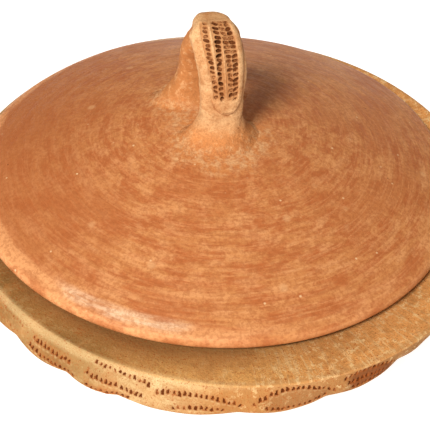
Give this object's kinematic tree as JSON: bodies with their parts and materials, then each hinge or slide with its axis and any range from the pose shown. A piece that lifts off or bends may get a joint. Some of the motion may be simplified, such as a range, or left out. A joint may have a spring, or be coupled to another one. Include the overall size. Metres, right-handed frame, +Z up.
{
  "type": "lidded clay tagine pot",
  "caption": "Shallow round clay cooking dish with a stamped wavy rim, and a low domed clay lid with a strap handle resting on it.",
  "frame": {"origin": "centre of the dish's flat underside", "axes": "+Z up through the middle of the dish; -Y towards the stamped front of the lid's handle; +X to the right as seen from the front"},
  "size_m": [0.3077, 0.3167, 0.1697],
  "materials": {
    "buff_clay": "matt unglazed buff orange fired clay, scraped and stamped",
    "red_clay": "unglazed red orange fired clay, streaked by burnishing in rings"
  },
  "bodies": {
    "root": {"dish": "buff_clay", "lid": "red_clay"}
  },
  "joints": []
}
